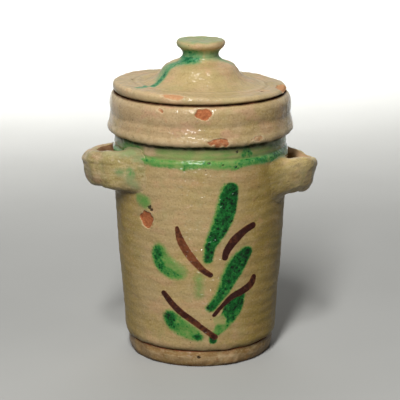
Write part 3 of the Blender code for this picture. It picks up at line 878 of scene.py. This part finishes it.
def bell(start, direction, details, front):
    """Rings that carry a strap's end on to the wall in a smeared, hollow curve and sink into it."""
    radius = np.interp(start[:, 2], wall_height, wall_radius)
    half = start[:, :2] @ direction[:2]
    gap = np.sum(start[:, :2] ** 2, axis=1) - radius ** 2
    reach = -half - np.sqrt(np.maximum(half ** 2 - gap, 0.0))
    knee = start + reach[:, None] * direction
    middle = knee.mean(axis=0)
    middle_turn = math.atan2(middle[0], -middle[1])
    knee_turn = np.arctan2(knee[:, 0], -knee[:, 1])
    arc = (knee_turn - middle_turn) * np.hypot(knee[:, 0], knee[:, 1])
    rise = knee[:, 2] - middle[2]
    size = np.hypot(arc, rise)
    inwards = np.sign(-middle_turn) if front else np.sign(middle_turn)
    to_front = arc / size * inwards
    to_top = rise / size
    spread = details["spread"]
    top_spread = spread["top"] if front else spread["back_top"]
    length = spread["base"] + top_spread * np.maximum(to_top, 0.0) ** 2
    length = length + spread["open"] * np.maximum(to_front, 0.0) ** 2
    length = length + spread["low"] * np.maximum(-to_top, 0.0) ** 2
    if not front:
        length = length + spread["inner"] * np.maximum(-to_front, 0.0) ** 2
    lip = STRAP_LIP * np.maximum(-to_top, 0.0) ** 2 * ease(to_front, 0.4, -0.1)
    length = length * (1.0 + 0.12 * ripple(knee, 14.0, details["seed"] + 3))
    length = np.maximum(length, 0.8)
    rings = []
    steps = list(np.linspace(0.0, 1.0, BELL_STEPS + 1)[1:]) + [1.12]
    for part in steps:
        extra = max(part - 1.0, 0.0)
        bezier = min(part, 1.0)
        flow = (1.0 - bezier) ** 2
        bend = 2.0 * bezier * (1.0 - bezier)
        rest = bezier ** 2
        end_turn = knee_turn + (arc / size) * length * (1.0 + extra) / np.hypot(knee[:, 0], knee[:, 1])
        end_z = knee[:, 2] + to_top * length * (1.0 + extra)
        end = np.stack([np.sin(end_turn), -np.cos(end_turn), end_z], axis=1)
        sink = np.where(extra > 0.0, -12.0 * extra, lip) - 0.05
        end_radius = wall_at(end[:, 0], end[:, 1], end_z) + sink
        end[:, :2] *= end_radius[:, None]
        rings.append(flow * start + bend * knee + rest * end)
    return rings


def strap(node, side, details, material):
    """Strap handle: stations along the loop, and a smeared root at either end."""
    middle = STRAP_MIDDLE[node]
    rings = []
    creases = []
    ends = []
    parts = np.linspace(-BELL_START, BELL_START, STRAP_STATIONS)
    for part in parts:
        corners, cosine, lift, ahead, crease = strap_section(part, middle, details)
        corners[:, 0] *= side
        rings.append(corners)
        creases.append(crease)
        ends.append(np.array([ahead[0] * side, ahead[1], 0.0]))
    front_rings = bell(rings[0], -ends[0], details, True)
    back_rings = bell(rings[-1], ends[-1], details, False)
    rings = front_rings[::-1] + rings + back_rings
    count = len(rings)
    extra = len(front_rings)
    grid = np.array(rings)
    fade_in = np.linspace(0.0, 1.0, extra)
    fade = np.concatenate([fade_in, np.ones(len(parts)), fade_in[::-1]])
    flat = grid.reshape(-1, 3)
    along = np.gradient(grid, axis=0)
    round_way = np.roll(grid, -1, axis=1) - np.roll(grid, 1, axis=1)
    normal = np.cross(round_way, along) * side
    normal /= np.linalg.norm(normal, axis=2, keepdims=True)
    seed = details["seed"]
    dents = 0.26 * ripple(flat, 15.0, seed) + 0.08 * ripple(flat, 6.5, seed + 1, 2.2)
    grid = grid + normal * (dents.reshape(count, -1) * fade[:, None])[:, :, None]
    flat = grid.reshape(-1, 3)
    full_cosine = np.tile(cosine, (count, 1)).reshape(-1)
    full_lift = np.tile(lift, (count, 1)).reshape(-1)
    near_root = np.repeat(fade, STRAP_SIDES)
    green_edge = np.full(len(flat), -FAR)
    green_tone = np.zeros(len(flat))
    paint(flat, marks_on(place, details["green"]), green_edge, green_tone)
    bell_parts = np.linspace(BELL_START, 1.0, extra)
    stations = np.repeat(np.concatenate([-bell_parts[::-1], parts, bell_parts]), STRAP_SIDES)
    inner = details["bare_inside"] * ease(full_cosine, -0.45, -0.75)
    bare_edge = details["bare_edge"]
    bare_from = details["bare_from"]
    top = ease(full_cosine, bare_edge, bare_edge - 0.35) * ease(full_lift, 0.55, 0.85)
    top = top * ease(stations, bare_from - 0.2, bare_from + 0.2)
    bare = np.maximum(inner, top) * near_root
    lift_off = np.hypot(flat[:, 0], flat[:, 1]) - np.interp(flat[:, 2], wall_height, wall_radius)
    band_edge, band_tone = neck_band(flat, np.arctan2(flat[:, 0], -flat[:, 1]))
    band_edge = np.minimum(band_edge - 1.0, 2.0 - lift_off)
    stained = band_edge > green_edge
    green_tone = np.where(stained, 0.5 * band_tone, green_tone)
    green_edge = np.maximum(green_edge, band_edge)
    none = np.zeros((extra, STRAP_SIDES))
    # Painted shade in the creases, and a painted shadow along the bottom of each root.
    crease_shade = np.vstack([none, np.array(creases), none]).reshape(-1)
    root_shadow = 0.9 * ease(near_root, 0.26, 0.0) * ease(full_lift, 0.0, -0.6)
    root_shadow = root_shadow * ease(full_cosine, 0.6, 0.2)
    pit = in_spots(flat, details["pits"], 0.15 * ripple(flat, 2.0, seed + 4))
    # Ochre tint with painted shade on the strap's roots, matching the jar's darker sides.
    front_ochre_and_shade, back_ochre_and_shade = details["root_ochre_and_shade"]
    root_ochre_and_shade = np.where(stations < 0.0, front_ochre_and_shade, back_ochre_and_shade) * (1.0 - near_root ** 2)
    root_ochre_and_shade = root_ochre_and_shade * ease(full_cosine, -0.6, 0.0)
    values = {
        "ochre": root_ochre_and_shade,
        "green": as_soft_field(green_edge),
        "green_tone": green_tone,
        "bare": bare,
        "pit": as_field(pit),
        "dirt_and_shade": np.clip(root_shadow + crease_shade, 0.0, 1.0),
        "wear_and_painted_light": details["top_wear"] * ease(full_lift, 0.45, 0.95) * (1.0 - bare),
    }
    fields = {name: value.reshape(count, STRAP_SIDES) for name, value in values.items()}
    hubs = [grid[0].mean(axis=0), grid[-1].mean(axis=0)]
    hub_fields = {name: [0.0, 0.0] for name in values}
    order = (0, 3, 2, 1) if side > 0.0 else (1, 2, 3, 0)
    return make_piece(node, grid, fields, material, hubs, hub_fields, order)


# Details of the straps, left and right. A rise is the slope, climb and curve of the top edge from the
# tip to a root. A crease is its place and width across the face, its depth, and its middle and reach
# along the strap.
STRAP_DETAILS = {
    "seed": (101, 141),
    "level": (1.8, -1.2),
    "front_rise": ((5.9, 0.0, 1.0), (6.3, 0.0, 1.0)),
    "back_rise": ((-3.8, 3.3, 1.75), (-2.3, 7.7, 2.7)),
    "lean": (0.75, 2.55),
    "low_lean": (1.1, 2.45),
    "foot": (1.25, 1.05),
    "arch": (1.3, -1.7),
    "arch_at": (0.48, 0.35),
    "nose": (0.6, 0.4),
    "nose_out": (1.2, 0.35),
    "creases": (
        [(0.5, 0.032, 0.6, -0.3, 0.5), (-0.42, 0.08, 0.25, 0.0, 0.5)],
        [(0.3, 0.05, 0.3, -0.2, 0.6), (-0.3, 0.06, 0.25, -0.1, 0.5)],
    ),
    "spread": (
        {"base": 2.2, "top": 2.4, "back_top": 2.4, "open": 2.6, "low": -0.8, "inner": 0.0},
        {"base": 2.2, "top": 3.0, "back_top": 6.5, "open": 3.6, "low": 3.0, "inner": 11.0},
    ),
    "green": (
        [
            (2.2, [(-55.8, 64.0, 137.2, 2.8, 0.42), (-54.2, 63.5, 134.6, 2.8, 0.42)]),
            (2.4, [(-62.4, 68.1, 135.6, 2.6, 0.34), (-60.4, 67.0, 136.1, 2.4, 0.32)]),
            (3.4, [(-56.0, 64.6, 130.5, 3.4, 0.2), (-52.1, 61.9, 127.3, 3.2, 0.18)]),
            (3.2, [(-55.2, 60.3, 149.9, 4.2, 0.24), (-60.2, 63.8, 149.0, 3.8, 0.2),
                   (-65.0, 67.4, 148.0, 3.0, 0.12), (-71.0, 71.5, 146.6, 2.8, 0.1)]),
        ],
        [],
    ),
    "pits": ([(-63.1, 68.2, 141.2, 0.7, 0.6)], []),
    "root_ochre_and_shade": ((0.0, 0.45), (0.8, 0.7)),
    "top_wear": (0.0, 0.15),
    "bare_inside": (1.0, 0.8),
    "bare_edge": (-0.1, 0.2),
    "bare_from": (0.25, -0.35),
}


# Materials

COAT_WEIGHT = 0.5
COAT_ROUGHNESS = 0.08


def tint(colour):
    """Screen colour as the linear values that a shader takes."""
    linear = []
    for part in colour:
        share = part / 255.0
        linear.append(share / 12.92 if share <= 0.04045 else ((share + 0.055) / 1.055) ** 2.4)
    return (*linear, 1.0)


class Shade:
    """Node tree with short helpers. Each one adds nodes and returns an output."""

    def __init__(self, owner, shader="Principled BSDF"):
        owner.use_nodes = True
        self.owner = owner
        self.tree = owner.node_tree
        self.shader = self.tree.nodes[shader]

    def feed(self, value, socket):
        """Link an output, or set a number, a vector as a list, or a screen colour as a tuple."""
        if isinstance(value, bpy.types.NodeSocket):
            self.tree.links.new(value, socket)
        elif isinstance(value, tuple) and len(value) == 3:
            socket.default_value = tint(value)
        else:
            socket.default_value = value

    def node(self, kind, feeds, **settings):
        """New node with its settings made and its inputs fed."""
        made = self.tree.nodes.new("ShaderNode" + kind)
        for name, value in settings.items():
            setattr(made, name, value)
        for key, value in feeds.items():
            self.feed(value, made.inputs[key])
        return made

    @functools.cached_property
    def where(self):
        return self.node("TexCoord", {}).outputs["Object"]

    def math(self, operation, first, second, clamp=False):
        return self.node("Math", {0: first, 1: second}, operation=operation, use_clamp=clamp).outputs[0]

    def add(self, first, second):
        return self.math("ADD", first, second)

    def times(self, first, second):
        return self.math("MULTIPLY", first, second)

    def centred(self, value, scale):
        """Value between 0 and 1 as one on both sides of 0."""
        return self.times(self.add(value, -0.5), scale)

    def total(self, rows):
        """Sum of values, each times its share."""
        return functools.reduce(self.add, [self.times(value, share) for value, share in rows])

    def stretch(self, *scale):
        return self.node("VectorMath", {0: self.where, 1: list(scale)}, operation="MULTIPLY").outputs[0]

    def noise(self, size, detail=3.0, rough=0.55, where=None):
        feeds = {"Scale": 1.0 / (size * MM), "Detail": detail, "Roughness": rough}
        return self.node("TexNoise", {"Vector": where or self.where, **feeds}).outputs[0]

    def cells(self, size):
        """Distance from the middle of each cell, and a random number that the cell keeps."""
        cell = self.node("TexVoronoi", {"Vector": self.where, "Scale": 1.0 / (size * MM)})
        part = self.node("SeparateColor", {0: cell.outputs["Color"]})
        return cell.outputs["Distance"], part.outputs[0]

    def span(self, value, low, high, to_low=0.0, to_high=1.0):
        feeds = {0: value, 1: low, 2: high, 3: to_low, 4: to_high}
        return self.node("MapRange", feeds, interpolation_type="SMOOTHSTEP").outputs[0]

    def field(self, name):
        return self.node("Attribute", {}, attribute_name=name).outputs["Fac"]

    def mix(self, factor, first, second):
        return self.node("Mix", {0: factor, 6: first, 7: second}, data_type="RGBA").outputs[2]

    def layers(self, colour, rows):
        """Paints over a colour: what places one, where it starts and is full, its most, its colour."""
        for value, start, full, most, top in rows:
            colour = self.mix(self.span(value, start, full, 0.0, most), colour, top)
        return colour

    def seen(self):
        """1 for what the camera sees, also in gloss or glass, and 0 for light that bounces."""
        path = self.node("LightPath", {}).outputs
        direct = self.math("MAXIMUM", path["Is Camera Ray"], path["Is Glossy Ray"])
        return self.math("MAXIMUM", direct, path["Is Transmission Ray"])

    def ramp(self, value, places, colours):
        made = self.node("ValToRGB", {0: value})
        points = made.color_ramp.elements
        while len(points) < len(places):
            points.new(0.5)
        for point, position, colour in zip(points, places, colours):
            point.position = position
            point.color = tint(colour)
        return made.outputs[0]

    def bump(self, height, socket):
        made = self.node("Bump", {"Strength": 1.0, "Distance": MM, "Height": height})
        self.tree.links.new(made.outputs[0], self.shader.inputs[socket])

    def coat(self, weight, height):
        """Glassy coat with its own unevenness over the rest."""
        self.feed(weight, self.shader.inputs["Coat Weight"])
        self.feed(COAT_ROUGHNESS, self.shader.inputs["Coat Roughness"])
        self.bump(height, "Coat Normal")

    def close(self, colour, roughness, height, shine):
        """Finish the material and return it."""
        self.feed(colour, self.shader.inputs["Base Color"])
        self.feed(roughness, self.shader.inputs["Roughness"])
        self.feed(shine, self.shader.inputs["Specular IOR Level"])
        self.bump(height, "Normal")
        return self.owner


def clay_colour(s, light, dark):
    """Bare fired clay: red to brown, with pale dust and dark pores."""
    fine = s.noise(2.2, 4.0, 0.65)
    return s.layers(light, [
        (s.noise(14.0, 4.0), 0.35, 0.65, 1.0, dark),
        (fine, 0.55, 0.75, 0.45, CLAY_DUST),
        (fine, 0.42, 0.3, 0.55, CLAY_PORE),
    ])


def glaze(name, ground, olive, mottle, streak, greens, chips, clay):
    """Ochre lead glaze over slip with green and brown pigment, chips, pits, dirt and bare clay, and
    painted shade, sheen and light.
    """
    s = Shade(bpy.data.materials.new(name))
    buff, ochre, pink = ground
    other = s.noise(20.0, 4.0, 0.6, s.stretch(1.0, 1.0, 1.7))
    patch = s.noise(9.0, 4.0, 0.6)
    mid = s.noise(4.2, 3.0, 0.6)
    grain = s.noise(1.3, 3.0, 0.7)
    pebble = s.noise(2.4, 1.5, 0.5)
    ridges = s.noise(3.4, 1.0, 0.4, s.stretch(1.0, 1.0, 1.8))
    lines = s.noise(14.0, 5.0, 0.65, s.stretch(1.0, 1.0, 6.0))
    tinge = s.noise(15.0, 4.0, 0.65, s.stretch(1.2, 1.2, 1.0))
    colour = s.layers(buff, [
        (s.noise(38.0, 3.0), 0.4, 0.62, 1.0, ochre),
        (other, 0.49, 0.66, 0.75, pink),
        (tinge, 0.5, 0.68, olive, OLIVE),
    ])
    # The field named ochre lays ochre tint together with painted shade on the sides, the collar's right
    # and the strap roots.
    colour = s.mix(s.field("ochre"), colour, SIDE_OCHRE_AND_SHADE)
    colour = s.layers(colour, [
        (lines, 0.5, 0.66, 0.5 * streak, PALE),
        (lines, 0.48, 0.34, 0.6 * streak, SHADE),
        (patch, 0.46, 0.32, 0.55 * streak, SHADE),
        (patch, 0.54, 0.68, 0.45 * streak, PALE),
        (grain, 0.52, 0.7, 0.48 * mottle, PALE),
        (grain, 0.47, 0.3, 0.5 * mottle, GRIME),
    ])
    # Pale wear, with painted sheen, highlight and light where the meshes set them in the same field.
    rim = s.times(s.field("wear_and_painted_light"), s.span(mid, 0.3, 0.6))
    colour = s.mix(s.times(rim, 0.55), colour, PALE)
    colour = s.layers(colour, [(s.total([(patch, 0.6), (mid, 0.4)]), 0.56, 0.7, 0.3, BLUSH)])

    speck, pick = s.cells(4.6)
    speck = s.times(s.span(speck, 0.13, 0.06), s.span(pick, 0.9, 0.92))
    colour = s.mix(s.times(speck, 0.75), colour, SPECK)

    edge = s.add(s.centred(s.field("green"), SOFT_SPAN), s.centred(s.noise(1.7, 4.0, 0.75), 2.2))
    inked = s.span(edge, -1.0, 1.0)
    deep = s.span(edge, -0.6, 2.4)
    tone = s.field("green_tone")
    dots, dot_pick = s.cells(2.0)
    dots = s.times(s.span(dots, 0.5, 0.22), s.span(dot_pick, 0.5, 0.6))
    cloud = s.total([(s.add(s.noise(3.6, 4.0, 0.75), -0.52), 1.5), (dots, 0.26)])
    shade = s.times(tone, s.span(deep, 0.0, 1.0, 0.72, 1.0))
    shade = s.add(shade, s.times(cloud, s.span(tone, 0.15, 0.7, 0.14, 1.0)))
    inked = s.times(inked, s.span(tone, 0.0, 0.26, 0.45, 1.0))
    colour = s.mix(inked, colour, s.ramp(shade, GREEN_TONES, greens))

    stroke = s.span(s.add(s.field("brown"), s.centred(s.noise(1.6, 3.0, 0.6), 0.09)), 0.46, 0.55)
    brown_tone = s.add(s.field("brown_tone"), s.centred(s.noise(3.0, 3.0, 0.6), 1.2))
    colour = s.mix(stroke, colour, s.layers(BROWN_LIGHT, [(brown_tone, 0.15, 0.95, 1.0, BROWN_DARK)]))

    bare = s.span(s.add(s.field("bare"), s.centred(patch, 0.7)), 0.4, 0.62)
    colour = s.mix(bare, colour, clay_colour(s, *clay))

    chip = s.add(s.field("chip"), s.centred(s.noise(1.8, 3.0, 0.7), 0.16))
    rim_pale = s.times(s.span(chip, 0.36, 0.46, 0.0, 0.8), s.span(mid, 0.42, 0.56))
    broken = s.span(chip, 0.43, 0.57)
    colour = s.mix(rim_pale, colour, PALE)
    colour = s.mix(broken, colour, s.mix(s.span(grain, 0.35, 0.65), *chips))

    pit = s.span(s.field("pit"), 0.44, 0.54)
    colour = s.mix(s.times(pit, 0.9), colour, PIT)
    # Dirt and painted shade from the field, its strength varied by noise.
    dirt_and_shade = s.times(s.field("dirt_and_shade"), s.span(mid, 0.25, 0.6, 0.55, 1.0))
    colour = s.mix(s.math("MULTIPLY", dirt_and_shade, 0.85, True), colour, DIRT_AND_SHADE)

    dull = s.math("MAXIMUM", s.math("MAXIMUM", bare, broken), s.times(dirt_and_shade, 0.7))
    rough = s.span(s.total([(mid, 0.5), (grain, 0.5)]), 0.42, 0.58, 0.34, 0.52)
    rough = s.add(rough, s.times(dull, 0.4))

    height = s.total([
        (grain, 0.12),
        (pebble, 0.2),
        (mid, 0.22),
        (lines, 0.08),
        (speck, -0.1),
        (inked, 0.05),
        (stroke, 0.07),
        (broken, -0.35),
        (pit, -0.4),
        (s.times(bare, s.noise(1.2, 4.0, 0.7)), 0.22),
    ])
    glass = s.times(s.span(dull, 0.0, 0.8, COAT_WEIGHT, 0.0), s.span(mid, 0.35, 0.6, 1.0, 0.7))
    gloss = s.field("gloss")
    glass = s.times(glass, s.add(gloss, 1.0))
    s.coat(glass, s.add(height, s.times(ridges, s.span(gloss, 0.0, 1.0, 1.6, 0.6))))
    return s.close(colour, rough, height, 0.05)


def bare_clay(name):
    """Unglazed red clay with turning lines, pores and a few splashes of glaze."""
    s = Shade(bpy.data.materials.new(name))
    lines = s.noise(8.0, 4.0, 0.65, s.stretch(1.0, 1.0, 9.0))
    colour = s.layers(clay_colour(s, RED_CLAY, DARK_CLAY), [(lines, 0.5, 0.7, 0.4, CLAY_LINE)])
    pores, pick = s.cells(2.2)
    pores = s.times(s.span(pores, 0.26, 0.12), s.span(pick, 0.6, 0.64))
    colour = s.mix(s.times(pores, 0.8), colour, FLANGE_PORE)
    splash = s.span(s.noise(11.0, 3.0, 0.5), 0.66, 0.7)
    colour = s.mix(s.times(splash, 0.85), colour, BODY_GROUND[0])
    rough = s.span(splash, 0.0, 1.0, 0.86, 0.35)
    height = s.total([(lines, 0.16), (s.noise(1.1, 4.0, 0.7), 0.12), (pores, -0.3), (splash, 0.1)])
    return s.close(colour, rough, height, 0.35)


POT_CLAY = (RED_CLAY, DARK_CLAY)
STRAP_CLAYS = (STRAP_CLAY, STRAP_DARK_CLAY)
# The right strap's clays are painted light for the shadowed inside of its loop.
RIGHT_LIGHTENED_CLAYS = (LIGHTENED_CLAY, DULL_LIGHTENED_CLAY)

# Ground colours of the glaze, its olive tinge, fine mottle and streaks, its greens, then the clay
# in its chips and where it is bare.
GLAZE_BY_NODE = {
    "jar_body": (BODY_GROUND, 0.25, 0.75, 0.28, GREENS, CHIP, POT_CLAY),
    "foot_ring": (FOOT_GROUND_AND_SHADE, 0.15, 0.8, 0.7, GREENS, CHIP, POT_CLAY),
    "rim_collar": (COLLAR_GROUND, 0.2, 0.8, 0.38, GREENS, CHIP, POT_CLAY),
    "lid": (LID_GROUND, 0.2, 0.6, 0.28, LID_GREENS, LID_CHIP, POT_CLAY),
    "lid_knob": (LID_GROUND, 0.2, 0.6, 0.28, LID_GREENS, LID_CHIP, POT_CLAY),
    "handle_left": (LEFT_GROUND, 0.6, 0.8, 1.0, STRAP_GREENS, CHIP, STRAP_CLAYS),
    "handle_right": (RIGHT_GROUND_AND_LIGHT, 0.45, 0.8, 0.75, STRAP_GREENS, CHIP, RIGHT_LIGHTENED_CLAYS),
}
materials = {node: glaze(node + "_glaze", *look) for node, look in GLAZE_BY_NODE.items()}

pieces = {}
for member in (body, foot, collar, lid, knob):
    pieces[member.node] = member.build(materials[member.node])
pieces["lid_flange"] = flange.build(bare_clay("lid_flange_clay"))
for index, (node, side) in enumerate((("handle_left", -1.0), ("handle_right", 1.0))):
    own_details = {key: pair[index] for key, pair in STRAP_DETAILS.items()}
    pieces[node] = strap(node, side, own_details, materials[node])

LID_NODES = ("lid", "lid_flange", "lid_knob")
for node, piece in pieces.items():
    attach(piece, "lid" if node in LID_NODES else "jar")
    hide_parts(node)


# Stage, light and camera

FLOOR_SIZE = 8.0
FLOOR_GREY = (186, 186, 182)
FLOOR_CLOUD = (181, 181, 177)
FLOOR_BOUNCE = (84, 84, 82)


def lay_floor():
    """Large pale floor with a faint, even mottle."""
    half = 0.5 * FLOOR_SIZE
    corners = [(-half, -half, 0.0), (half, -half, 0.0), (half, half, 0.0), (-half, half, 0.0)]
    mesh = bpy.data.meshes.new("floor")
    mesh.from_pydata(corners, [], [(0, 1, 2, 3)])
    s = Shade(bpy.data.materials.new("floor_paint"))
    colour = s.layers(FLOOR_GREY, [(s.noise(300.0, 3.0), 0.3, 0.7, 1.0, FLOOR_CLOUD)])
    colour = s.mix(s.seen(), FLOOR_BOUNCE, colour)
    mesh.materials.append(s.close(colour, 0.75, s.times(s.noise(3.0, 2.0), 0.02), 0.1))
    floor = bpy.data.objects.new("floor", mesh)
    bpy.context.scene.collection.objects.link(floor)


def lamp(name, turn, elevation, distance, width, tall, power):
    """Soft lamp that looks at the middle of the jar from a turn and an elevation in degrees."""
    light = bpy.data.lights.new(name, "AREA")
    light.shape = "RECTANGLE"
    light.size = width
    light.size_y = tall
    light.energy = power
    holder = bpy.data.objects.new(name, light)
    level = distance * math.cos(math.radians(elevation))
    spot = place(turn, level, distance * math.sin(math.radians(elevation)) + JAR_MIDDLE)
    holder.location = spot
    holder.rotation_euler = (math.radians(90.0 - elevation), 0.0, math.radians(turn))
    bpy.context.scene.collection.objects.link(holder)
    return holder


def light_world(background, ambient):
    """Pale world for the camera and for reflections, and a dimmer even light for the rest."""
    world = bpy.data.worlds.new("studio")
    bpy.context.scene.world = world
    s = Shade(world, "Background")
    s.feed(s.span(s.seen(), 0.0, 1.0, ambient, background), s.shader.inputs["Strength"])
    s.shader.inputs["Color"].default_value = (1.0, 1.0, 1.0, 1.0)


JAR_MIDDLE = 0.11
CAMERA_AT = (-0.1587, -1.1289, 0.397)
CAMERA_PITCH = 14.31
CAMERA_TURN = -8.0
SENSOR = 36.0
FOCAL_PIXELS = 1677.0
FRAME_PIXELS = 400.0

lay_floor()
# Lamps: turn, elevation, distance, width, height and power.
lamp("key", -17.0, 45.0, 1.6, 0.16, 0.95, 28.5)
back_fill = lamp("back_fill", 172.0, 42.0, 2.0, 1.2, 1.2, 8.3)
back_fill.visible_glossy = False
wash = lamp("floor_wash", 0.0, 90.0, 1.3, 1.8, 1.2, 24.0)
wash.location.y = 1.5
wash.data.spread = math.radians(70.0)
light_world(0.65, 0.04)

scene = bpy.context.scene
scene.view_settings.view_transform = "Standard"
camera_data = bpy.data.cameras.new("camera")
camera_data.sensor_width = SENSOR
camera_data.lens = SENSOR * FOCAL_PIXELS / FRAME_PIXELS
camera = bpy.data.objects.new("camera", camera_data)
camera.location = CAMERA_AT
camera.rotation_euler = (math.radians(90.0 - CAMERA_PITCH), 0.0, math.radians(CAMERA_TURN))
scene.collection.objects.link(camera)
scene.camera = camera
